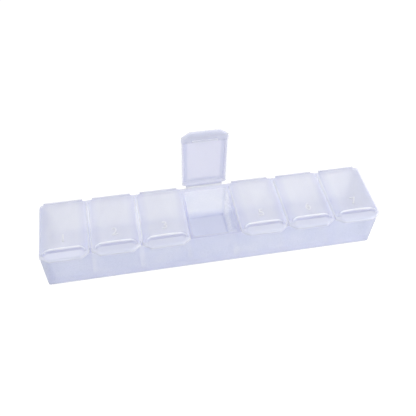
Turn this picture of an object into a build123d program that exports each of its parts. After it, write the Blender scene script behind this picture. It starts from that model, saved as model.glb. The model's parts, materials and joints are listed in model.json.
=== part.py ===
from build123d import *
import math
import os

# A week's pill organizer in frosted polypropylene: one moulded tray of wells in a row, a snap lid over
# each well, and the thin moulded web that hinges each lid to the tray's back rim.
# Millimetres. X runs along the row, Y to the hinged back and Z up. The origin is the base's centre.

# The row of wells
well_count = 7
pitch = 21.4
open_lid = 4  # counted from the left end
open_angle = 91.5  # degrees from closed, how far that lid stands open

# The tray
tray_height = 19.9
long_wall = 1.3
end_wall = 1.3
partition = 1.8
floor_thickness = 1.2
outer_draft = 0.9  # degrees
well_draft = 1.2  # degrees
tray_corner_radius = 1.3
foot_radius = 0.5
well_corner_radius = 1.4
well_floor_radius = 0.9

# The lids
lid_depth = 28.8
lid_height = 2.8
lid_crown = 0.8  # how far the top arches from side to side
lid_gap = 0.5
lid_overhang = 0.1
lid_seat = 0.05  # air between a closed lid and the rim
lid_wall = 1.0
lid_draft = 16.0  # degrees
lid_corner_radius = 1.6
lid_shoulder_radius = 1.3
lid_inner_corner_radius = 0.9
lid_inner_radius = 0.7

# The thumb tab in front of each lid, and the scoop above it
tab_reach = 2.6
tab_rise = 1.2  # its top above the rim
tab_drop = 0.6  # its foot below the rim, in front of the tray
tab_root_inset = 0.2  # from the lid's sides
tab_tip_width = 13.4
tab_corner_radius = 2.0
tab_nose_radius = 1.1  # along its upper front edge
tab_edge_radius = 0.35  # along its lower front edge
scoop_width = 17.4
scoop_inset = 2.2  # from the lid's front to the brow
scoop_corner_radius = 2.6
scoop_cove_radius = 0.9
scoop_brow_radius = 0.4

# The snap lip under each lid's front, just inside the well
lip_width = 11.0
lip_thickness = 0.8
lip_depth = 1.2
lip_clearance = 0.3
lip_edge_radius = 0.3

# The living hinges
hinge_width = 17.0
hinge_reach = 1.19  # from the lid's back face to the hinge axis
web_leg = 0.35  # flat of the web on each side of its bend
ledge_thickness = 0.75
gusset_drop = 1.1
web_inner_radius = 0.25
web_thickness = 0.35

overrun = 1.0

# Worked out from the sizes above
lid_width = pitch - lid_gap
tray_length = well_count * pitch - lid_gap - 2 * lid_overhang
tray_depth = lid_depth - 2 * lid_overhang
lid_front = -lid_depth / 2
lid_back = lid_depth / 2
rim_z = tray_height + lid_seat
hinge_y = lid_back + hinge_reach
hinge_z = (tray_height + rim_z) / 2
hinge_axis = Axis((0, hinge_y, hinge_z), (1, 0, 0))
ledge_y = hinge_y - web_leg
ledge_length = (well_count - 1) * pitch + hinge_width


def lean(height, draft):
    """How far a drafted wall leans over its height."""
    return height * math.tan(math.radians(draft))


def seam_x(index):
    """The plane between two neighbouring wells, or the end of the row."""
    return (index - well_count / 2) * pitch


def lid_x(number):
    """Middle of a lid, counted from one at the left end."""
    return (seam_x(number - 1) + seam_x(number)) / 2


def drafted_block(width, depth, height, corner_radius, taper):
    """Block on a rounded rectangle, narrowing by the taper as it rises or widening where it is negative."""
    return extrude(RectangleRounded(width, depth, corner_radius), amount=height, taper=taper)


def bottom_edges(block):
    """The lowest edges of a block."""
    return block.edges().group_by(Axis.Z)[0]


def rising_edges(block, level):
    """The edges of a block that pass through a level."""
    boxes = [(edge, edge.bounding_box()) for edge in block.edges()]
    return ShapeList(edge for edge, box in boxes if box.min.Z < level < box.max.Z)


def upper_edges(block, level):
    """The edges of a block that lie above a level."""
    return block.edges().filter_by(lambda edge: edge.bounding_box().min.Z > level)


def bar(profile, width):
    """A profile of (Y, Z) points drawn out to both sides of the middle plane."""
    return extrude(Plane.YZ * make_face(Polyline(*profile, close=True)), amount=width / 2, both=True)


def crowned_block(width, depth, height, corner_radius, edge_radius):
    """Cap that leans in on all four sides, with an arched top, rounded corners and a rounded upper edge."""
    side_height = height - lid_crown
    foot_x, shoulder_x = width / 2, width / 2 - lean(side_height, lid_draft)
    sides = Polyline((-shoulder_x, side_height), (-foot_x, 0), (foot_x, 0), (shoulder_x, side_height))
    arch = ThreePointArc((-shoulder_x, side_height), (0, height), (shoulder_x, side_height))
    across = extrude(Plane.XZ * make_face([*sides.edges(), arch]), amount=depth / 2, both=True)
    foot_y, top_y = depth / 2, depth / 2 - lean(height, lid_draft)
    along = bar([(-foot_y, 0), (foot_y, 0), (top_y, height), (-top_y, height)], width)
    block = across & along
    block = fillet(rising_edges(block, side_height / 2), corner_radius)
    return fillet(upper_edges(block, side_height / 2), edge_radius)


def make_well(index):
    """The space of one well: drafted, with rounded corners and a rounded floor."""
    left = seam_x(index) + partition / 2 if index > 0 else end_wall - tray_length / 2
    right = seam_x(index + 1) - partition / 2 if index < well_count - 1 else tray_length / 2 - end_wall
    drop = tray_height - floor_thickness
    inset = lean(drop, well_draft)
    width = right - left - 2 * inset
    depth = tray_depth - 2 * long_wall - 2 * inset
    well = drafted_block(width, depth, drop + overrun, well_corner_radius - inset, -well_draft)
    well = fillet(bottom_edges(well), well_floor_radius)
    return Pos((left + right) / 2, 0, floor_thickness) * well


def make_tray_ledge():
    """The gusseted ledge along the tray's back rim that the webs grow from."""
    wall_y = tray_depth / 2 - long_wall / 2
    low_z = tray_height - ledge_thickness
    top = [(wall_y, tray_height), (ledge_y, tray_height)]
    underside = [(ledge_y, low_z), (wall_y, low_z - gusset_drop)]
    return bar(top + underside, ledge_length)


def make_tray():
    """The tray: an open drafted box, its wells and its hinge ledge."""
    inset = lean(tray_height, outer_draft)
    foot_length = tray_length - 2 * inset
    foot_depth = tray_depth - 2 * inset
    tray = drafted_block(foot_length, foot_depth, tray_height, tray_corner_radius - inset, -outer_draft)
    tray = fillet(bottom_edges(tray), foot_radius)
    return tray - [make_well(index) for index in range(well_count)] + make_tray_ledge()


def free_edges(tab):
    """The edges of a tab that stand clear of the lid's front."""
    return tab.edges().filter_by(lambda edge: edge.center().Y < lid_front - tab_reach / 4)


def make_tab():
    """The thumb tab: a plate with a straight front, slanting ends and a rounded nose, hung past the rim."""
    half_root = lid_width / 2 - tab_root_inset
    half_tip = tab_tip_width / 2
    root_y = lid_front + scoop_inset
    tip_y = lid_front - tab_reach
    left = [(-half_tip, tip_y), (-half_root, lid_front), (-half_root, root_y)]
    right = [(half_root, root_y), (half_root, lid_front), (half_tip, tip_y)]
    outline = make_face(Polyline(*left, *right, close=True))
    outline = fillet(outline.vertices().group_by(Axis.Y)[0], tab_corner_radius)
    tab = extrude(outline, amount=tab_drop + tab_rise)
    tab = fillet(free_edges(tab).group_by(Axis.Z)[-1], tab_nose_radius)
    tab = fillet(free_edges(tab).group_by(Axis.Z)[0], tab_edge_radius)
    tab -= Pos(0, root_y, tab_drop / 2) * Box(lid_width, 2 * scoop_inset, tab_drop)
    return Pos(0, 0, rim_z - tab_drop) * tab


def make_scoop():
    """The thumb scoop above the tab, with rounded ends and a cove along its foot."""
    length = scoop_inset + tab_reach + scoop_corner_radius + scoop_cove_radius
    scoop = drafted_block(scoop_width, length, lid_height, scoop_corner_radius, 0)
    scoop = fillet(bottom_edges(scoop), scoop_cove_radius)
    return Pos(0, lid_front + scoop_inset - length / 2, rim_z + tab_rise) * scoop


def make_cap():
    """The cap with the thumb scoop in its front, whose brow is rounded along the crown."""
    shoulder_x = lid_width / 2 - lean(lid_height - lid_crown, lid_draft)
    crown_radius = (shoulder_x**2 + lid_crown**2) / (2 * lid_crown)
    section = Rectangle(lid_width + 2 * overrun, lid_height, align=(Align.CENTER, Align.MIN))
    section &= Pos(0, lid_height - crown_radius) * Circle(crown_radius)
    stock = Pos(0, 0, rim_z) * extrude(Plane.XZ * section, amount=lid_depth / 2 + overrun, both=True)
    stock -= make_scoop()
    brow = stock.edges().sort_by_distance((0, lid_front + scoop_inset, rim_z + lid_height))[0]
    stock = fillet(brow, scoop_brow_radius)
    cap = crowned_block(lid_width, lid_depth, lid_height, lid_corner_radius, lid_shoulder_radius)
    return Pos(0, 0, rim_z) * cap & stock


def make_cavity():
    """The hollow under the lid's top, behind the scoop."""
    front = lid_front + scoop_inset + lid_wall
    depth = lid_back - lid_wall - front
    width = lid_width - 2 * lid_wall
    cavity = crowned_block(width, depth, lid_height - lid_wall, lid_inner_corner_radius, lid_inner_radius)
    return Pos(0, front + depth / 2, rim_z) * cavity


def make_lip():
    """The snap lip that hangs just inside the well's front wall."""
    lip = extrude(Rectangle(lip_width, lip_thickness), amount=lip_depth + tab_rise)
    lip = fillet(bottom_edges(lip), lip_edge_radius)
    front = lip_clearance + long_wall - tray_depth / 2
    return Pos(0, front + lip_thickness / 2, rim_z - lip_depth) * lip


def make_lid():
    """One lid, closed over a well in the middle of the row."""
    wall_y = lid_back - lid_wall / 2
    high_z = rim_z + ledge_thickness
    ledge = bar([(wall_y, rim_z), (ledge_y, rim_z), (ledge_y, high_z), (wall_y, high_z)], hinge_width)
    return make_cap() + make_tab() - make_cavity() + make_lip() + ledge


def make_web(angle):
    """The thin web of a hinge: a leg from the tray's ledge, a bend round the axis and a leg to the lid's."""
    bend_start = -90
    bend = 180 - angle
    centre = Vector(hinge_y, hinge_z)
    tray_leg = Vector(-web_leg, 0)
    lid_leg = tray_leg.rotate(Axis.Z, -angle)
    inner = CenterArc(centre, web_inner_radius, bend_start, bend)
    outer = CenterArc(centre, web_inner_radius + web_thickness, bend_start, bend)
    tray_end = Line(inner @ 0 + tray_leg, outer @ 0 + tray_leg)
    lid_end = Line(outer @ 1 + lid_leg, inner @ 1 + lid_leg)
    outer_legs = [Line(tray_end @ 1, outer @ 0), Line(outer @ 1, lid_end @ 0)]
    inner_legs = [Line(lid_end @ 1, inner @ 1), Line(inner @ 0, tray_end @ 0)]
    outline = make_face([inner, outer, tray_end, lid_end, *outer_legs, *inner_legs])
    return extrude(Plane.YZ * outline, amount=hinge_width / 2, both=True)


def make_parts():
    """Every piece by name, in its place."""
    parts = {"tray": make_tray()}
    closed_lid = make_lid()
    for number in range(1, well_count + 1):
        angle = open_angle if number == open_lid else 0
        place = Pos(lid_x(number), 0, 0)
        parts[f"lid_{number}"] = place * closed_lid.rotate(hinge_axis, -angle)
        parts[f"hinge_web_{number}"] = place * make_web(angle)
    return parts


os.makedirs("parts", exist_ok=True)
for name, shape in make_parts().items():
    export_step(shape, f"parts/{name}.step")
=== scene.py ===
"""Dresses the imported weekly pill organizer: frosted plastic, hinge webs, numerals, studio and camera."""
import json
import logging
import math
from dataclasses import dataclass, field
from enum import Enum

import bmesh
import bpy
from mathutils import Matrix, Vector


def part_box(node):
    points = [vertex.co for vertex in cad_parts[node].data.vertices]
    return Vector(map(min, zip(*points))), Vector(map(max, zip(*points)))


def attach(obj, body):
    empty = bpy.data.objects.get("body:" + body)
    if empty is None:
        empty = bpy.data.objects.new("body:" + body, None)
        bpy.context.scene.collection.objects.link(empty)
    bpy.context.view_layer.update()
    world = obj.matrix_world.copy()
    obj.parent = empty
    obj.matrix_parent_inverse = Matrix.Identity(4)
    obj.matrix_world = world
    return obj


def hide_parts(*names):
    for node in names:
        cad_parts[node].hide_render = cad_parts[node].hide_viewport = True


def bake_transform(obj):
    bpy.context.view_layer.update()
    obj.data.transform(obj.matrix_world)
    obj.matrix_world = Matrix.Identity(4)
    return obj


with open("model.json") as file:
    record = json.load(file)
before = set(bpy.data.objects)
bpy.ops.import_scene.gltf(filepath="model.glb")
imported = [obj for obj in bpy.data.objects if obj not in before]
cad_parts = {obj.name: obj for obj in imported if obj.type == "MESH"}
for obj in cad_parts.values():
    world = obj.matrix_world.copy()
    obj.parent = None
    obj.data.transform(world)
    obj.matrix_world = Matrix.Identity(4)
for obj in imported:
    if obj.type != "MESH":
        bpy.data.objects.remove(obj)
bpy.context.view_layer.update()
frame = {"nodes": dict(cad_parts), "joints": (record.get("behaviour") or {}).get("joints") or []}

LOG = logging.getLogger("pill_organizer")
MM = 0.001
CLOSED_PLACE = "closed_place"
NUMBER_SOCKET = "NodeSocketFloat"
COLOUR_SOCKET = "NodeSocketColor"
WHITE = (1.0, 1.0, 1.0, 1.0)

Colour = tuple[float, float, float]
Point = tuple[float, float, float]
Socket = bpy.types.NodeSocket
Sockets = bpy.types.bpy_prop_collection
Value = Socket | float


class Slot(Enum):
    """Names of the record's material slots for the lid and the hinge plastics."""

    LID = "lid_plastic"
    HINGE = "hinge_plastic"


class LidZone(Enum):
    """Zones of a lid, each by the name of its mask."""

    RIM = "Rim"
    SIDE = "Side"
    BACK = "Back"
    INSIDE = "Inside"
    FRAME = "Frame"
    UNDERSIDE = "Underside"
    TAB = "Tab"
    WALL = "Wall"
    ENDS = "Ends"
    BROW = "Brow"


class TrayZone(Enum):
    """Zones of the tray, each by the name of its mask."""

    FLOOR = "Floor"
    EDGE = "Edge"
    END = "End"
    RIM = "Rim"


class Sketch:
    """Places shader nodes in one tree and wires them."""

    def __init__(self, tree: bpy.types.NodeTree) -> None:
        """Starts from an empty tree.

        Args:
            tree: The material's, world's or group's node tree.
        """
        self.tree = tree
        self.tree.nodes.clear()

    def add(self, kind: str, **values: object) -> bpy.types.Node:
        """Places one node.

        Args:
            kind: The node's Blender type.
            values: Properties by name, or input sockets by name with spaces as underscores.

        Returns:
            The new node.
        """
        node = self.tree.nodes.new(kind)
        for name, value in values.items():
            if name in node.bl_rna.properties:
                setattr(node, name, value)
        for name, value in values.items():
            if name not in node.bl_rna.properties:
                self.feed(node.inputs[name.replace("_", " ")], value)
        return node

    def feed(self, socket: Socket, value: object) -> None:
        """Links a socket to another, or sets it.

        Args:
            socket: The input to feed.
            value: An output socket, or the value to set.
        """
        if isinstance(value, Socket):
            self.tree.links.new(value, socket)
        else:
            socket.default_value = value

    def math(self, operation: str, first: Value, second: Value = 0.0) -> Socket:
        """One step of arithmetic.

        Args:
            operation: Blender's name of the operation.
            first: A socket or a number.
            second: A socket or a number.

        Returns:
            The result's socket.
        """
        node = self.add("ShaderNodeMath", operation=operation)
        self.feed(node.inputs[0], first)
        self.feed(node.inputs[1], second)
        return node.outputs[0]

    def product(self, first: Value, *factors: Value) -> Socket:
        """Multiplies values or masks.

        Args:
            first: A socket or a number.
            factors: What it is multiplied by, in order.

        Returns:
            The product's socket.
        """
        result = first
        for factor in factors:
            result = self.math("MULTIPLY", result, factor)
        return result

    def minus(self, first: Value, second: Value) -> Socket:
        """The first value less the second."""
        return self.math("SUBTRACT", first, second)

    def above(self, value: Value, limit: Value) -> Socket:
        """Mask of where a value is over a limit."""
        return self.math("GREATER_THAN", value, limit)

    def below(self, value: Value, limit: Value) -> Socket:
        """Mask of where a value is under a limit."""
        return self.math("LESS_THAN", value, limit)

    def span(self, value: Value, low: Value, high: Value, start: Value = 0.0, end: Value = 1.0) -> Socket:
        """Maps a value's range to another, held at both ends.

        Args:
            value: The socket to map.
            low: Result at start.
            high: Result at end.
            start: Where the mapping starts.
            end: Where the mapping ends.

        Returns:
            The mapped value's socket.
        """
        limits = {"From_Min": start, "From_Max": end, "To_Min": low, "To_Max": high}
        return self.add("ShaderNodeMapRange", clamp=True, Value=value, **limits).outputs["Result"]

    def blend(self, share: Value, first: object, second: object) -> Socket:
        """Mixes two colours.

        Args:
            share: How much of the second colour shows.
            first: Colour at share 0.
            second: Colour at share 1.

        Returns:
            The mixed colour's socket.
        """
        node = self.add("ShaderNodeMix", data_type="RGBA")
        sockets = {socket.identifier: socket for socket in (*node.inputs, *node.outputs)}
        self.feed(sockets["Factor_Float"], share)
        self.feed(sockets["A_Color"], first)
        self.feed(sockets["B_Color"], second)
        return sockets["Result_Color"]


class Effect:
    """A surface effect as one shader node group, drawn once and placed in each finish that has it."""

    name = "effect"
    inputs: tuple[tuple[str, str, object], ...] = ()
    outputs: tuple[tuple[str, str], ...] = ()

    @classmethod
    def tree(cls) -> bpy.types.NodeTree:
        """The group's node tree.

        Returns:
            The tree, built on first use.
        """
        found = bpy.data.node_groups.get(cls.name)
        if found:
            return found
        tree = bpy.data.node_groups.new(cls.name, "ShaderNodeTree")
        for name, kind, value in cls.inputs:
            tree.interface.new_socket(name, in_out="INPUT", socket_type=kind).default_value = value
        for name, kind in cls.outputs:
            tree.interface.new_socket(name, in_out="OUTPUT", socket_type=kind)
        sketch = Sketch(tree)
        entry = sketch.add("NodeGroupInput")
        results = cls.draw(sketch, entry.outputs)
        leave = sketch.add("NodeGroupOutput")
        for name, socket in results.items():
            sketch.feed(leave.inputs[name], socket)
        return tree

    @classmethod
    def draw(cls, sketch: Sketch, given: Sockets) -> dict[str, Socket]:
        """Draws the group's nodes.

        Args:
            sketch: The group's tree.
            given: The group's input sockets by name.

        Returns:
            The sockets of the group's outputs by name.
        """
        raise NotImplementedError

    @classmethod
    def place(cls, sketch: Sketch, **values: object) -> Sockets:
        """Places the group in a material.

        Args:
            sketch: The material's tree.
            values: The group's inputs by name with spaces as underscores.

        Returns:
            The group's output sockets by name.
        """
        return sketch.add("ShaderNodeGroup", node_tree=cls.tree(), **values).outputs


class MouldGrain(Effect):
    """The mould's fine matte grain over a slow ripple of shrinkage."""

    name = "mould_grain"
    inputs = (
        ("Grain per Metre", NUMBER_SOCKET, 4000.0),
        ("Ripple per Metre", NUMBER_SOCKET, 200.0),
        ("Ripple Share", NUMBER_SOCKET, 0.7),
    )
    outputs = (("Height", NUMBER_SOCKET), ("Grain", NUMBER_SOCKET))
    grain_detail = 2.0
    ripple_detail = 1.0

    @classmethod
    def draw(cls, sketch: Sketch, given: Sockets) -> dict[str, Socket]:
        """Mixes a fine noise and a slow one.

        Args:
            sketch: The group's tree.
            given: The group's input sockets by name.

        Returns:
            The surface's height, and the fine grain alone.
        """
        place = sketch.add("ShaderNodeTexCoord").outputs["Object"]
        grain = {"Scale": given["Grain per Metre"], "Detail": cls.grain_detail}
        ripple = {"Scale": given["Ripple per Metre"], "Detail": cls.ripple_detail}
        fine = sketch.add("ShaderNodeTexNoise", Vector=place, **grain)
        slow = sketch.add("ShaderNodeTexNoise", Vector=place, **ripple)
        height = sketch.add("ShaderNodeMix", data_type="FLOAT")
        sketch.feed(height.inputs["Factor"], given["Ripple Share"])
        sketch.feed(height.inputs["A"], fine.outputs["Fac"])
        sketch.feed(height.inputs["B"], slow.outputs["Fac"])
        return {"Height": height.outputs[0], "Grain": fine.outputs["Fac"]}


class MeltCloud(Effect):
    """Cloudiness that the melt leaves as it flows along the mould: milkier and clearer streaks."""

    name = "melt_cloud"
    inputs = (
        ("Clear Tint", COLOUR_SOCKET, WHITE),
        ("Milky Tint", COLOUR_SOCKET, WHITE),
        ("Clouds per Metre", NUMBER_SOCKET, 90.0),
    )
    outputs = (("Color", COLOUR_SOCKET),)
    flow_stretch = (1.0, 0.45, 0.8)
    cloud_detail = 3.0
    cloud_swirl = 0.6
    clear_below = 0.32
    milky_above = 0.68

    @classmethod
    def draw(cls, sketch: Sketch, given: Sockets) -> dict[str, Socket]:
        """Stretches one noise along the flow.

        Args:
            sketch: The group's tree.
            given: The group's input sockets by name.

        Returns:
            The plastic's colour.
        """
        flow = sketch.add("ShaderNodeVectorMath", operation="MULTIPLY")
        sketch.feed(flow.inputs[0], sketch.add("ShaderNodeTexCoord").outputs["Object"])
        sketch.feed(flow.inputs[1], cls.flow_stretch)
        look = {"Scale": given["Clouds per Metre"], "Detail": cls.cloud_detail, "Distortion": cls.cloud_swirl}
        noise = sketch.add("ShaderNodeTexNoise", Vector=flow.outputs[0], **look)
        milk = sketch.span(noise.outputs["Fac"], 0.0, 1.0, cls.clear_below, cls.milky_above)
        return {"Color": sketch.blend(milk, given["Clear Tint"], given["Milky Tint"])}


class HandlingScuffs(Effect):
    """Hairline scuffs of daily handling, in patches."""

    name = "handling_scuffs"
    inputs = (
        ("Scuffs per Metre", NUMBER_SOCKET, 260.0),
        ("Hair Width", NUMBER_SOCKET, 0.02),
    )
    outputs = (("Mask", NUMBER_SOCKET),)
    scuff_turn = (0.3, 0.2, 0.7)
    scuff_stretch = (0.25, 1.6, 1.0)
    patch_detail = 2.0
    bare_below = 0.5
    scuffed_above = 0.7

    @classmethod
    def draw(cls, sketch: Sketch, given: Sockets) -> dict[str, Socket]:
        """Draws thin cell borders, stretched, and shows them in patches.

        Args:
            sketch: The group's tree.
            given: The group's input sockets by name.

        Returns:
            The mask of the scuffs.
        """
        place = sketch.add("ShaderNodeTexCoord").outputs["Object"]
        turn = {"Rotation": cls.scuff_turn, "Scale": cls.scuff_stretch}
        drawn = sketch.add("ShaderNodeMapping", Vector=place, **turn).outputs[0]
        size = {"Scale": given["Scuffs per Metre"]}
        cells = sketch.add("ShaderNodeTexVoronoi", feature="DISTANCE_TO_EDGE", Vector=drawn, **size)
        hair = sketch.span(cells.outputs["Distance"], 1.0, 0.0, 0.0, given["Hair Width"])
        patches = sketch.add("ShaderNodeTexNoise", Vector=place, Detail=cls.patch_detail, **size)
        shown = sketch.span(patches.outputs["Fac"], 0.0, 1.0, cls.bare_below, cls.scuffed_above)
        return {"Mask": sketch.product(hair, shown)}


class LidZones(Effect):
    """Masks of a lid's zones, where its finish paints highlights and shade, measured where the closed lid's
    points lie from its middle.

    Its front has the scoop's wall, the brow over it and the brow's ends, the tab and the underside. Its shell
    has the rim over the side walls, the sides and the band along the back, and the hollow has a frame.
    """

    name = "lid_zones"
    inputs = tuple(
        (size, NUMBER_SOCKET, 0.0)
        for size in (
            "Scoop Width",
            "Scoop Corner",
            "Wall Depth",
            "Tab Level",
            "Foot Level",
            "Brow Place",
            "Brow Level",
            "Brow Width",
            "Lid Width",
            "Lid Back",
            "Rim Width",
            "Inside Level",
            "Crown",
            "Wall",
            "Frame Width",
        )
    )
    outputs = tuple((zone.value, NUMBER_SOCKET) for zone in LidZone)
    brow_core_share = 0.25
    brow_fade_share = 0.75
    ends_fade_share = 2.0
    wall_core_share = 0.7
    back_width_share = 0.5

    @classmethod
    def draw(cls, sketch: Sketch, given: Sockets) -> dict[str, Socket]:
        """Draws the masks of the front, the shell and the hollow.

        Args:
            sketch: The group's tree.
            given: The group's input sockets by name.

        Returns:
            Each zone's mask by name.
        """
        place = sketch.add("ShaderNodeAttribute", attribute_name=CLOSED_PLACE).outputs["Vector"]
        axes = sketch.add("ShaderNodeSeparateXYZ", Vector=place).outputs
        across = sketch.math("ABSOLUTE", axes["X"])
        masks = cls.front_masks(sketch, given, axes, across) | cls.shell_masks(sketch, given, axes, across)
        return {zone.value: mask for zone, mask in masks.items()}

    @classmethod
    def front_masks(
        cls, sketch: Sketch, given: Sockets, axes: Sockets, across: Socket
    ) -> dict[LidZone, Socket]:
        """Masks that follow the scoop's rounded outline.

        Args:
            sketch: The group's tree.
            given: The group's input sockets by name.
            axes: The point's place by axis.
            across: The point's distance from the lid's middle plane.

        Returns:
            The masks of the brow, its ends, the scoop's wall and the tab.
        """
        scoop_side = sketch.product(given["Scoop Width"], 0.5)
        corner_x = sketch.minus(scoop_side, given["Scoop Corner"])
        corner_y = sketch.minus(given["Brow Place"], given["Scoop Corner"])
        beside = sketch.math("MAXIMUM", sketch.minus(across, corner_x), 0.0)
        behind = sketch.math("MAXIMUM", sketch.minus(axes["Y"], corner_y), 0.0)
        squares = sketch.math("ADD", sketch.math("POWER", beside, 2.0), sketch.math("POWER", behind, 2.0))
        past = sketch.minus(sketch.math("SQRT", squares), given["Scoop Corner"])
        brow = given["Brow Width"]
        off = sketch.math("ABSOLUTE", sketch.minus(past, sketch.product(brow, 0.5)))
        core = sketch.product(brow, cls.brow_core_share)
        line = sketch.span(off, 1.0, 0.0, core, sketch.product(brow, cls.brow_fade_share))
        band = sketch.span(off, 1.0, 0.0, brow, sketch.product(brow, cls.ends_fade_share))
        straight = sketch.span(across, 1.0, 0.0, corner_x, scoop_side)
        high = sketch.above(axes["Z"], given["Brow Level"])
        raised = sketch.above(axes["Z"], given["Tab Level"])
        inside = sketch.below(past, 0.0)
        front = sketch.below(axes["Y"], given["Brow Place"])
        flat = sketch.math("MAXIMUM", inside, sketch.below(axes["Z"], given["Tab Level"]))
        tab = sketch.product(flat, front, sketch.above(axes["Z"], given["Foot Level"]))
        wall_core = sketch.product(given["Wall Depth"], cls.wall_core_share)
        foot = sketch.span(sketch.product(past, -1.0), 1.0, 0.0, wall_core, given["Wall Depth"])
        return {
            LidZone.BROW: sketch.product(line, high, straight),
            LidZone.ENDS: sketch.product(band, raised, sketch.minus(1.0, straight)),
            LidZone.WALL: sketch.product(foot, inside, tab, straight),
            LidZone.TAB: tab,
        }

    @classmethod
    def shell_masks(
        cls, sketch: Sketch, given: Sockets, axes: Sockets, across: Socket
    ) -> dict[LidZone, Socket]:
        """Masks that follow the lid's sides, back and hollow.

        Args:
            sketch: The group's tree.
            given: The group's input sockets by name.
            axes: The point's place by axis.
            across: The point's distance from the lid's middle plane.

        Returns:
            The masks of the rim, the sides, the back, the underside, the hollow and its frame.
        """
        back = given["Lid Back"]
        side = sketch.product(given["Lid Width"], 0.5)
        half_wall = sketch.product(given["Wall"], 0.5)
        rim_start = sketch.minus(side, given["Rim Width"])
        back_start = sketch.minus(back, sketch.product(given["Rim Width"], cls.back_width_share))
        within = sketch.below(across, sketch.minus(side, half_wall))
        after = sketch.above(axes["Y"], sketch.math("ADD", given["Brow Place"], half_wall))
        before = sketch.below(axes["Y"], sketch.minus(back, half_wall))
        arch = sketch.product(sketch.math("POWER", sketch.math("DIVIDE", across, side), 2.0), given["Crown"])
        lower = sketch.below(axes["Z"], sketch.minus(given["Inside Level"], arch))
        hollow = sketch.product(lower, within, after, before)
        frame_x = sketch.minus(side, given["Frame Width"])
        frame_y = sketch.minus(back, given["Frame Width"])
        beside = sketch.span(across, 0.0, 1.0, sketch.minus(frame_x, half_wall), frame_x)
        behind = sketch.span(axes["Y"], 0.0, 1.0, sketch.minus(frame_y, half_wall), frame_y)
        low = sketch.below(axes["Z"], given["Foot Level"])
        return {
            LidZone.RIM: sketch.span(across, 0.0, 1.0, rim_start, side),
            LidZone.SIDE: sketch.minus(1.0, within),
            LidZone.BACK: sketch.span(axes["Y"], 0.0, 1.0, back_start, back),
            LidZone.UNDERSIDE: sketch.product(sketch.minus(1.0, after), low),
            LidZone.INSIDE: hollow,
            LidZone.FRAME: sketch.product(hollow, sketch.math("MAXIMUM", beside, behind)),
        }


class TrayZones(Effect):
    """Masks of the tray's zones, where its finish paints shade and light: its floor, its upper edge, its two
    ends and the top of its rim.
    """

    name = "tray_zones"
    inputs = tuple(
        (size, NUMBER_SOCKET, 0.0)
        for size in (
            "Floor Level",
            "Edge Level",
            "Blur",
            "Rim Level",
            "Rim Place",
            "Back Share",
            "Open Width",
            "End Place",
            "End Width",
        )
    )
    outputs = tuple((zone.value, NUMBER_SOCKET) for zone in TrayZone)

    @classmethod
    def draw(cls, sketch: Sketch, given: Sockets) -> dict[str, Socket]:
        """Fades up from the floor, down from the edge, in from the ends and back along the rim.

        Args:
            sketch: The group's tree.
            given: The group's input sockets by name.

        Returns:
            Each zone's mask by name.
        """
        place = sketch.add("ShaderNodeTexCoord").outputs["Object"]
        axes = sketch.add("ShaderNodeSeparateXYZ", Vector=place).outputs
        across = sketch.math("ABSOLUTE", axes["X"])
        floor_end = sketch.math("ADD", given["Floor Level"], given["Blur"])
        edge_start = sketch.minus(given["Edge Level"], given["Blur"])
        end_start = sketch.minus(given["End Place"], given["End Width"])
        rim_front = sketch.product(given["Rim Place"], -1.0)
        fading = sketch.span(axes["Y"], 1.0, given["Back Share"], rim_front, given["Rim Place"])
        top = sketch.above(axes["Z"], given["Rim Level"])
        bare = sketch.below(across, sketch.product(given["Open Width"], 0.5))
        outer = sketch.above(sketch.math("ABSOLUTE", axes["Y"]), given["Rim Place"])
        return {
            TrayZone.FLOOR.value: sketch.span(axes["Z"], 1.0, 0.0, given["Floor Level"], floor_end),
            TrayZone.EDGE.value: sketch.span(axes["Z"], 0.0, 1.0, edge_start, given["Edge Level"]),
            TrayZone.END.value: sketch.span(across, 0.0, 1.0, end_start, given["End Place"]),
            TrayZone.RIM.value: sketch.product(top, fading, sketch.math("MAXIMUM", bare, outer)),
        }


@dataclass
class Surface:
    """What a finish feeds to its shader, as sockets or plain values."""

    tint: object
    cover: Value
    rough: Value
    gloss: Value


@dataclass(frozen=True)
class Polish:
    """How a zone mirrors the light."""

    rough: float
    gloss: float


POLISHED = Polish(rough=0.1, gloss=1.0)
DULL = Polish(rough=0.6, gloss=0.0)


@dataclass(frozen=True)
class Zone:
    """How the plastic looks in one zone of a piece."""

    mask: LidZone | TrayZone
    tint: Colour
    cover: float
    polish: Polish | None = None

    def lay(self, sketch: Sketch, surface: Surface, mask: Socket) -> None:
        """Changes a surface in this zone.

        Args:
            sketch: The material's tree.
            surface: The surface to change.
            mask: Where the zone lies.
        """
        surface.tint = sketch.blend(mask, surface.tint, (*self.tint, 1.0))
        surface.cover = sketch.span(mask, surface.cover, self.cover)
        if self.polish:
            surface.rough = sketch.span(mask, surface.rough, self.polish.rough)
            surface.gloss = sketch.span(mask, surface.gloss, self.polish.gloss)


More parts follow.
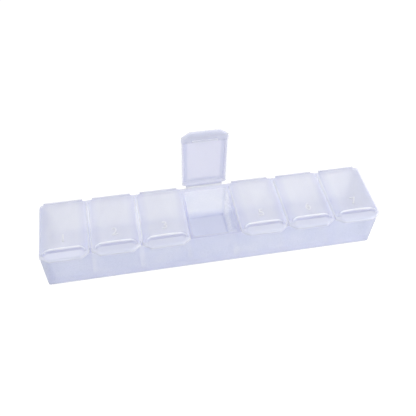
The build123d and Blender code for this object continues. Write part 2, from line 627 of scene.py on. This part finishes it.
@dataclass(frozen=True)
class FrostedPlastic:
    """A see-through, milky polypropylene finish, whose far faces don't show."""

    name: str
    clear_tint: Colour
    milky_tint: Colour
    cover: float
    roughness: float
    gloss: float
    grain_depth: float
    zones: tuple[Zone, ...] = ()
    milk_depth: float = 4.0 * MM
    milk_reach: Colour = (1.0, 1.0, 1.15)
    refraction: float = 1.49
    coat_roughness: float = 0.08
    shade: float = 0.05
    scuffing: float = 0.03
    grain_swing: float = 0.15
    grain_low: float = 0.3
    grain_high: float = 0.7

    def material(self) -> bpy.types.Material:
        """The finish as a material.

        Returns:
            The material, built on first use.
        """
        found = bpy.data.materials.get(self.name)
        if found:
            return found
        material = bpy.data.materials.new(self.name)
        material.use_nodes = True
        sketch = Sketch(material.node_tree)
        grain = MouldGrain.place(sketch)
        surface = self.surface(sketch, grain["Grain"])
        bump = sketch.add("ShaderNodeBump", Strength=1.0, Distance=self.grain_depth, Height=grain["Height"])
        path = sketch.add("ShaderNodeLightPath").outputs
        light = sketch.math("MAXIMUM", path["Is Shadow Ray"], path["Is Diffuse Ray"])
        near_face = sketch.minus(1.0, sketch.add("ShaderNodeNewGeometry").outputs["Backfacing"])
        shader = sketch.add(
            "ShaderNodeBsdfPrincipled",
            Base_Color=surface.tint,
            Roughness=surface.rough,
            IOR=self.refraction,
            Subsurface_Weight=1.0,
            Subsurface_Radius=self.milk_reach,
            Subsurface_Scale=self.milk_depth,
            Alpha=sketch.product(surface.cover, near_face, sketch.span(light, 1.0, self.shade)),
            Coat_Weight=surface.gloss,
            Coat_Roughness=self.coat_roughness,
            Normal=bump.outputs["Normal"],
        )
        out = sketch.add("ShaderNodeOutputMaterial")
        sketch.feed(out.inputs["Surface"], shader.outputs["BSDF"])
        return material

    def surface(self, sketch: Sketch, grain: Socket) -> Surface:
        """The cloudy, grainy, scuffed plastic with its zones laid over it.

        Args:
            sketch: The material's tree.
            grain: The fine grain.

        Returns:
            What feeds the shader.
        """
        tints = {"Clear_Tint": (*self.clear_tint, 1.0), "Milky_Tint": (*self.milky_tint, 1.0)}
        cloud = MeltCloud.place(sketch, **tints)
        scuffs = HandlingScuffs.place(sketch)
        smooth = self.roughness * (1.0 - self.grain_swing)
        coarse = self.roughness * (1.0 + self.grain_swing)
        rough = sketch.span(grain, smooth, coarse, self.grain_low, self.grain_high)
        rough = sketch.math("ADD", rough, sketch.product(scuffs["Mask"], self.scuffing))
        surface = Surface(cloud["Color"], self.cover, rough, self.gloss)
        if self.zones:
            masks = self.masks(sketch)
            for zone in self.zones:
                zone.lay(sketch, surface, masks[zone.mask.value])
        return surface

    def masks(self, sketch: Sketch) -> Sockets:
        """The masks of the finish's zones.

        Args:
            sketch: The material's tree.

        Returns:
            The masks by name.
        """
        raise NotImplementedError


@dataclass(frozen=True)
class LidPlastic(FrostedPlastic):
    """The plastic of a lid, with the sizes of the closed lid that its zones follow."""

    scoop_width: float = 17.4 * MM
    scoop_corner: float = 2.6 * MM
    scoop_wall_depth: float = 1.0 * MM
    tab_level: float = 21.2 * MM
    foot_level: float = 20.0 * MM
    brow_place: float = -12.2 * MM
    brow_level: float = 21.6 * MM
    brow_width: float = 0.4 * MM
    lid_back: float = 14.4 * MM
    rim_width: float = 4.5 * MM
    crown: float = 0.8 * MM
    wall: float = 1.0 * MM
    frame_width: float = 2.7 * MM

    def masks(self, sketch: Sketch) -> Sockets:
        """The masks of the lid's zones.

        Args:
            sketch: The material's tree.

        Returns:
            The masks by name.
        """
        low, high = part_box("lid_1")
        return LidZones.place(
            sketch,
            Scoop_Width=self.scoop_width,
            Scoop_Corner=self.scoop_corner,
            Wall_Depth=self.scoop_wall_depth,
            Tab_Level=self.tab_level,
            Foot_Level=self.foot_level,
            Brow_Place=self.brow_place,
            Brow_Level=self.brow_level,
            Brow_Width=self.brow_width,
            Lid_Width=high.x - low.x,
            Lid_Back=self.lid_back,
            Rim_Width=self.rim_width,
            Inside_Level=high.z - self.wall / 2,
            Crown=self.crown,
            Wall=self.wall,
            Frame_Width=self.frame_width,
        )


@dataclass(frozen=True)
class TrayPlastic(FrostedPlastic):
    """The plastic of the tray, with the sizes that its zones follow."""

    floor_level: float = 1.3 * MM
    edge_drop: float = 0.1 * MM
    blur: float = 5.0 * MM
    rim_drop: float = 0.3 * MM
    rim_place: float = 12.4 * MM
    rim_back_share: float = 0.5
    open_width: float = 23.4 * MM
    end_place: float = 74.0 * MM
    end_width: float = 5.5 * MM

    def masks(self, sketch: Sketch) -> Sockets:
        """The masks of the tray's zones.

        Args:
            sketch: The material's tree.

        Returns:
            The masks by name.
        """
        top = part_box("tray")[1].z
        return TrayZones.place(
            sketch,
            Floor_Level=self.floor_level,
            Edge_Level=top - self.edge_drop,
            Blur=self.blur,
            Rim_Level=top - self.rim_drop,
            Rim_Place=self.rim_place,
            Back_Share=self.rim_back_share,
            Open_Width=self.open_width,
            End_Place=self.end_place,
            End_Width=self.end_width,
        )


TRAY_PLASTIC = TrayPlastic(
    name="tray_frost",
    clear_tint=(0.56, 0.593, 0.765),
    milky_tint=(0.625, 0.653, 0.795),
    cover=0.66,
    roughness=0.28,
    gloss=0.3,
    grain_depth=0.01 * MM,
    zones=(
        # Painted shade: darker and more opaque towards the tray's bottom.
        Zone(TrayZone.FLOOR, tint=(0.48, 0.51, 0.715), cover=0.8),
        # Painted light: the tray's upper edge and partition tops are lighter and more opaque, as plastic
        # glows when seen edge-on.
        Zone(TrayZone.EDGE, tint=(0.58, 0.605, 0.80), cover=0.62),
        # Painted shade: darker and nearly opaque towards both ends of the tray.
        Zone(TrayZone.END, tint=(0.45, 0.475, 0.61), cover=0.97),
        # Painted shade: the top of the rim is darker, more at the front than the back, around the middle well
        # and along the front and back.
        Zone(TrayZone.RIM, tint=(0.41, 0.425, 0.575), cover=0.9),
    ),
)
LID_PLASTIC = LidPlastic(
    name="lid_frost",
    clear_tint=(0.605, 0.615, 0.74),
    milky_tint=(0.655, 0.665, 0.78),
    cover=0.6,
    roughness=0.3,
    gloss=0.3,
    grain_depth=0.008 * MM,
    zones=(
        # Painted shade: the lid's tone deepens towards its sides, along the seams between lids.
        Zone(LidZone.RIM, tint=(0.53, 0.55, 0.745), cover=0.6),
        # Painted light: the side walls are lighter and clearer, which lifts the shade in the gaps between
        # lids.
        Zone(LidZone.SIDE, tint=(0.72, 0.74, 0.92), cover=0.5),
        # Painted shade: a deep band along the back, over the hinge ledge.
        Zone(LidZone.BACK, tint=(0.35, 0.37, 0.555), cover=0.8),
        # Painted shade: the hollow's inner faces are darker than the outside.
        Zone(LidZone.INSIDE, tint=(0.53, 0.54, 0.72), cover=0.75),
        # Painted shade: a darker band around the hollow's edges.
        Zone(LidZone.FRAME, tint=(0.455, 0.475, 0.65), cover=0.8),
        # Painted shade: the front's underside below the foot is darker where it faces down, and dull so that
        # its edge doesn't glint.
        Zone(LidZone.UNDERSIDE, tint=(0.49, 0.51, 0.65), cover=0.8, polish=DULL),
        # Painted light: the tab's top is lighter, as where the light falls on it. Its polish is the tab's own
        # gloss.
        Zone(LidZone.TAB, tint=(0.635, 0.655, 0.79), cover=0.6, polish=POLISHED),
        # Painted shade: the scoop's wall under the brow is darker where it faces away from the light.
        Zone(LidZone.WALL, tint=(0.50, 0.51, 0.64), cover=0.65),
        # Painted shade: the brow's rounded ends are darker and dull, which tones down the highlight there.
        Zone(LidZone.ENDS, tint=(0.58, 0.595, 0.745), cover=0.5, polish=DULL),
        # Painted highlight: a near-white line along the brow, where the light catches its edge.
        Zone(LidZone.BROW, tint=(0.85, 0.86, 0.94), cover=0.85),
    ),
)
# Painted light: the numerals are tinted lighter than the lid, so that the shade on their sides doesn't show
# as dark specks.
NUMERAL_PLASTIC = FrostedPlastic(
    name="numeral_frost",
    clear_tint=(0.71, 0.72, 0.83),
    milky_tint=(0.75, 0.76, 0.86),
    cover=0.65,
    roughness=0.3,
    gloss=0.3,
    grain_depth=0.005 * MM,
)
HINGE_PLASTIC = FrostedPlastic(
    name="hinge_frost",
    clear_tint=(0.47, 0.51, 0.74),
    milky_tint=(0.53, 0.56, 0.77),
    cover=0.8,
    roughness=0.3,
    gloss=0.3,
    grain_depth=0.005 * MM,
)


def coat(piece: bpy.types.Object, finish: FrostedPlastic) -> None:
    """Gives a piece one finish all over.

    Args:
        piece: A mesh object.
        finish: Its finish.
    """
    piece.data.materials.clear()
    piece.data.materials.append(finish.material())


def new_piece(name: str, mesh: bpy.types.Mesh) -> bpy.types.Object:
    """Puts a mesh in the scene.

    Args:
        name: The piece's name.
        mesh: Its mesh, in the part's frame.

    Returns:
        The new object.
    """
    piece = bpy.data.objects.new(name, mesh)
    bpy.context.scene.collection.objects.link(piece)
    return piece


@dataclass
class Hinge:
    """Where one lid turns and how far it stands open."""

    number: int
    axis_point: Vector = field(init=False)
    opening: float = field(init=False)

    def __post_init__(self) -> None:
        """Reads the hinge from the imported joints, whose lower limit is the closed lid."""
        joint = next(j for j in frame["joints"] if j["child"] == f"lid_{self.number}")
        self.axis_point = Vector(joint["pos_m"])
        self.opening = math.radians(-joint["range_deg"][0])

    def turned(self) -> Matrix:
        """The move that takes a closed lid to where it stands."""
        turn = Matrix.Rotation(-self.opening, 4, "X")
        return Matrix.Translation(self.axis_point) @ turn @ Matrix.Translation(-self.axis_point)


@dataclass
class HingeWeb:
    """The thin strip that bends between the tray's ledge and a lid's."""

    hinge: Hinge
    thickness: float = 0.35 * MM
    bend_steps: int = 24
    leg_steps: int = 3
    width_steps: int = 12

    def build(self) -> bpy.types.Object:
        """Makes the strip, bent as its lid stands, puts it in place of the imported web and dresses it.

        Returns:
            The web's object.
        """
        name = f"hinge_web_{self.hinge.number}_bent"
        low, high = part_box("hinge_web_1")
        outer = (high.z - low.z) / 2
        leg = self.hinge.axis_point.y - low.y
        web = new_piece(name, self.strip(name, outer, leg, high.x - low.x))
        self.tie(web)
        self.dress(web)
        return web

    def strip(self, name: str, outer: float, leg: float, width: float) -> bpy.types.Mesh:
        """The strip's closed mesh.

        Args:
            name: The mesh's name.
            outer: Radius of the bend's outer face.
            leg: Length of each leg.
            width: Length along the hinge axis.

        Returns:
            The mesh, in the part's frame.
        """
        centre = self.hinge.axis_point
        outside = self.outline(outer, leg)
        loop = [*outside, *reversed(self.outline(outer - self.thickness, leg))]
        count = len(loop)
        shape = bmesh.new()
        rows = []
        for step in range(self.width_steps + 1):
            x = centre.x + width / 2 * (2 * step / self.width_steps - 1)
            rows.append([shape.verts.new((x, centre.y + y, centre.z + z)) for y, z in loop])
        for first, second in zip(rows, rows[1:]):
            for i in range(count):
                j = (i + 1) % count
                shape.faces.new((first[i], first[j], second[j], second[i]))
        for row in (rows[0], rows[-1]):
            for i in range(len(outside) - 1):
                shape.faces.new((row[i], row[i + 1], row[count - 2 - i], row[count - 1 - i]))
        bmesh.ops.recalc_face_normals(shape, faces=shape.faces)
        for face in shape.faces:
            face.smooth = True
        mesh = bpy.data.meshes.new(name)
        shape.to_mesh(mesh)
        shape.free()
        return mesh

    def outline(self, radius: float, leg: float) -> list[tuple[float, float]]:
        """One face of the strip about the hinge axis: tray leg, bend and lid leg.

        Args:
            radius: Radius of the bend.
            leg: Length of each leg.

        Returns:
            Points (y, z) from the tray's end to the lid's.
        """
        bend = math.pi - self.hinge.opening
        points = [(leg * (step / self.leg_steps - 1), -radius) for step in range(self.leg_steps)]
        for step in range(self.bend_steps + 1):
            angle = bend * step / self.bend_steps - math.pi / 2
            points.append((radius * math.cos(angle), radius * math.sin(angle)))
        end_y, end_z = points[-1]
        along_y, along_z = -math.cos(self.hinge.opening), math.sin(self.hinge.opening)
        for step in range(1, self.leg_steps + 1):
            reach = leg * step / self.leg_steps
            points.append((end_y + along_y * reach, end_z + along_z * reach))
        return points

    def tie(self, web: bpy.types.Object) -> None:
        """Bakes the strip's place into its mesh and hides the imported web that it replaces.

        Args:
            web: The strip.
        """
        number = self.hinge.number
        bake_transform(web)
        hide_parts(f"hinge_web_{number}")

    def dress(self, web: bpy.types.Object) -> None:
        """Gives the strip its finish."""
        coat(web, HINGE_PLASTIC)


@dataclass
class Lid:
    """One snap lid: its finish and the raised numeral near its front."""

    hinge: Hinge
    numeral_height: float = 4.0 * MM
    numeral_relief: float = 0.15 * MM
    numeral_sunk: float = 0.03 * MM
    numeral_setback: float = 9.8 * MM
    numeral_bevel: float = 0.05 * MM
    figure_height_share: float = 0.7
    bevel_steps: int = 1
    curve_steps: int = 4

    def build(self) -> list[bpy.types.Object]:
        """Raises the lid's numeral and dresses both.

        Returns:
            The lid's pieces.
        """
        cap = frame["nodes"][f"lid_{self.hinge.number}"]
        numeral = self.numeral()
        self.note_closed_place(cap)
        self.dress(cap, numeral)
        return [cap, numeral]

    def dress(self, cap: bpy.types.Object, numeral: bpy.types.Object) -> None:
        """Gives the lid and its numeral their finishes."""
        coat(cap, LID_PLASTIC)
        coat(numeral, NUMERAL_PLASTIC)

    def note_closed_place(self, cap: bpy.types.Object) -> None:
        """Notes for the finish where each point lies, from the lid's middle, when the lid is closed.

        Args:
            cap: The lid.
        """
        centred = Matrix.Translation((-self.hinge.axis_point.x, 0.0, 0.0))
        home = centred @ self.hinge.turned().inverted() @ cap.matrix_world
        note = cap.data.attributes.new(CLOSED_PLACE, "FLOAT_VECTOR", "POINT")
        for point, vertex in zip(note.data, cap.data.vertices):
            point.vector = home @ vertex.co

    def numeral(self) -> bpy.types.Object:
        """The lid's number as a raised, rounded figure.

        Returns:
            The numeral's object, riding on its lid.
        """
        number = self.hinge.number
        text = bpy.data.curves.new(f"numeral_{number}_text", "FONT")
        text.body = str(number)
        text.align_x = "CENTER"
        text.align_y = "CENTER"
        text.size = self.numeral_height / self.figure_height_share
        text.extrude = (self.numeral_relief + self.numeral_sunk) / 2
        text.bevel_depth = self.numeral_bevel
        text.bevel_resolution = self.bevel_steps
        text.resolution_u = self.curve_steps
        holder = bpy.data.objects.new(f"numeral_{number}_text", text)
        mesh = bpy.data.meshes.new_from_object(holder)
        bpy.data.objects.remove(holder)
        bpy.data.curves.remove(text)
        closed_low, closed_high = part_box("lid_1")
        middle = closed_high.z + (self.numeral_relief - self.numeral_sunk) / 2
        place = Vector((self.hinge.axis_point.x, closed_low.y + self.numeral_setback, middle))
        mesh.transform(self.hinge.turned() @ Matrix.Translation(place))
        numeral = new_piece(f"lid_numeral_{number}", mesh)
        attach(numeral, f"lid_{number}")
        return numeral


@dataclass
class Tray:
    """The moulded tray with its wells."""

    node: str = "tray"

    def build(self) -> list[bpy.types.Object]:
        """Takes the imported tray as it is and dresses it.

        Returns:
            The tray's pieces.
        """
        tray = frame["nodes"][self.node]
        self.dress(tray)
        return [tray]

    def dress(self, tray: bpy.types.Object) -> None:
        """Gives the tray its finish."""
        coat(tray, TRAY_PLASTIC)


@dataclass(frozen=True)
class SoftBox:
    """A square studio lamp, aimed at a point."""

    name: str
    place: Point
    aim: Point
    side: float
    power: float

    def build(self) -> bpy.types.Object:
        """Hangs the lamp.

        Returns:
            The lamp's object.
        """
        lamp = bpy.data.lights.new(self.name, "AREA")
        lamp.shape = "SQUARE"
        lamp.size = self.side
        lamp.energy = self.power
        holder = bpy.data.objects.new(self.name, lamp)
        holder.location = self.place
        ahead = Vector(self.aim) - Vector(self.place)
        holder.rotation_euler = ahead.to_track_quat("-Z", "Y").to_euler()
        bpy.context.scene.collection.objects.link(holder)
        return holder


FRONT_SOFTBOX = SoftBox(
    name="front_softbox", place=(0.26, -0.22, 0.05), aim=(0.06, 0.0, 0.01), side=0.2, power=0.42
)
BACK_SOFTBOX = SoftBox(
    name="back_softbox", place=(0.25, 0.55, 0.55), aim=(0.0, 0.0, 0.0), side=0.4, power=0.3
)
GLINT_LAMP = SoftBox(
    name="glint_lamp", place=(-0.12, 0.278, 0.399), aim=(-0.064, -0.014, 0.021), side=0.06, power=0.02
)


@dataclass
class Studio:
    """A white floor under soft light, with a white surround."""

    floor_side: float = 4.0
    floor_cells: int = 4
    floor_tone: float = 0.5
    floor_glow: float = 0.55
    surround_light: float = 1.0
    shade_blur: float = 2.5 * MM
    shade_colour: Colour = (0.20, 0.23, 0.38)
    lamps: tuple[SoftBox, ...] = (FRONT_SOFTBOX, BACK_SOFTBOX, GLINT_LAMP)

    def build(self) -> None:
        """Lays the floor, sets the surround and hangs the lamps."""
        self.floor()
        self.surround()
        for lamp in self.lamps:
            lamp.build()

    def floor(self) -> bpy.types.Object:
        """A wide white sheet that keeps the object's shadow.

        Returns:
            The floor's object.
        """
        mesh = bpy.data.meshes.new("studio_floor")
        shape = bmesh.new()
        cells = {"x_segments": self.floor_cells, "y_segments": self.floor_cells}
        bmesh.ops.create_grid(shape, size=self.floor_side / 2, **cells)
        shape.to_mesh(mesh)
        shape.free()
        floor = new_piece("studio_floor", mesh)
        floor.data.materials.append(self.floor_material())
        return floor

    def floor_material(self) -> bpy.types.Material:
        """The floor's finish: white where it is seen, shaded under the object, and open from below.

        Returns:
            The material.
        """
        material = bpy.data.materials.new("studio_floor")
        material.use_nodes = True
        sketch = Sketch(material.node_tree)
        sheet = sketch.add("ShaderNodeBsdfDiffuse", Color=(self.floor_tone,) * 3 + (1.0,))
        strength = sketch.product(self.seen(sketch), self.floor_glow)
        glow = sketch.add("ShaderNodeEmission", Color=self.footprint(sketch), Strength=strength)
        both = sketch.add("ShaderNodeAddShader")
        sketch.feed(both.inputs[0], sheet.outputs[0])
        sketch.feed(both.inputs[1], glow.outputs[0])
        from_below = sketch.add("ShaderNodeNewGeometry").outputs["Backfacing"]
        sided = sketch.add("ShaderNodeMixShader", Fac=from_below)
        sketch.feed(sided.inputs[1], both.outputs[0])
        sketch.feed(sided.inputs[2], sketch.add("ShaderNodeBsdfTransparent").outputs[0])
        out = sketch.add("ShaderNodeOutputMaterial")
        sketch.feed(out.inputs["Surface"], sided.outputs[0])
        return material

    @staticmethod
    def seen(sketch: Sketch) -> Socket:
        """Mask of the rays that see the floor directly, mirrored or through the plastic.

        Args:
            sketch: The floor's tree.

        Returns:
            The mask's socket.
        """
        path = sketch.add("ShaderNodeLightPath").outputs
        mirrored = sketch.math("MAXIMUM", path["Is Glossy Ray"], path["Is Transmission Ray"])
        return sketch.math("MAXIMUM", path["Is Camera Ray"], mirrored)

    def footprint(self, sketch: Sketch) -> Socket:
        """Colour of the floor's glow: white, with a painted shadow in the plastic's tint under the tray.

        Args:
            sketch: The floor's tree.

        Returns:
            The colour's socket.
        """
        place = sketch.add("ShaderNodeNewGeometry").outputs["Position"]
        axes = sketch.add("ShaderNodeSeparateXYZ", Vector=place).outputs
        low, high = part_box("tray")
        painted_shadow = 1.0
        for axis, half in (("X", high.x), ("Y", -low.y)):
            away = sketch.math("ABSOLUTE", axes[axis])
            painted_shadow = sketch.product(painted_shadow, sketch.span(away, 1.0, 0.0, half - self.shade_blur, half))
        return sketch.blend(painted_shadow, WHITE, (*self.shade_colour, 1.0))

    def surround(self) -> None:
        """A white surround that also lights the object."""
        world = bpy.data.worlds.new("studio")
        bpy.context.scene.world = world
        world.use_nodes = True
        sketch = Sketch(world.node_tree)
        background = sketch.add("ShaderNodeBackground", Color=WHITE, Strength=self.surround_light)
        out = sketch.add("ShaderNodeOutputWorld")
        sketch.feed(out.inputs["Surface"], background.outputs[0])


@dataclass(frozen=True)
class PhotoCamera:
    """The photograph's viewpoint in the part's frame."""

    place: Point = (-0.0360, -0.1597, 0.2100)
    azimuth: float = 12.34
    dip: float = 48.99
    roll: float = -2.15
    lens: float = 48.62
    sensor: float = 36.0
    near_limit: float = 10.0 * MM

    def build(self) -> bpy.types.Object:
        """Sets up the scene's camera.

        Returns:
            The camera's object.
        """
        turn, dip, roll = (math.radians(angle) for angle in (self.azimuth, self.dip, self.roll))
        ahead = Vector((math.sin(turn) * math.cos(dip), math.cos(turn) * math.cos(dip), -math.sin(dip)))
        level = ahead.cross(Vector((0.0, 0.0, 1.0))).normalized()
        below = ahead.cross(level)
        right = math.cos(roll) * level + math.sin(roll) * below
        down = math.cos(roll) * below - math.sin(roll) * level
        data = bpy.data.cameras.new("photo_camera")
        data.lens = self.lens
        data.sensor_width = self.sensor
        data.clip_start = self.near_limit
        camera = bpy.data.objects.new("photo_camera", data)
        stance = Matrix((right, -down, -ahead)).transposed().to_4x4()
        camera.matrix_world = Matrix.Translation(self.place) @ stance
        bpy.context.scene.collection.objects.link(camera)
        bpy.context.scene.camera = camera
        return camera


def main() -> None:
    """Builds the dressed organizer, the studio and the camera in order."""
    logging.basicConfig(level=logging.INFO, format="%(name)s: %(message)s")
    bpy.context.scene.view_settings.view_transform = "Standard"
    pieces = Tray().build()
    for number in range(1, len(frame["joints"]) + 1):
        hinge = Hinge(number)
        pieces += Lid(hinge).build()
        pieces.append(HingeWeb(hinge).build())
    for piece in pieces:
        LOG.info("built %s", piece.name)
    Studio().build()
    PhotoCamera().build()


if __name__ == "__main__":
    main()
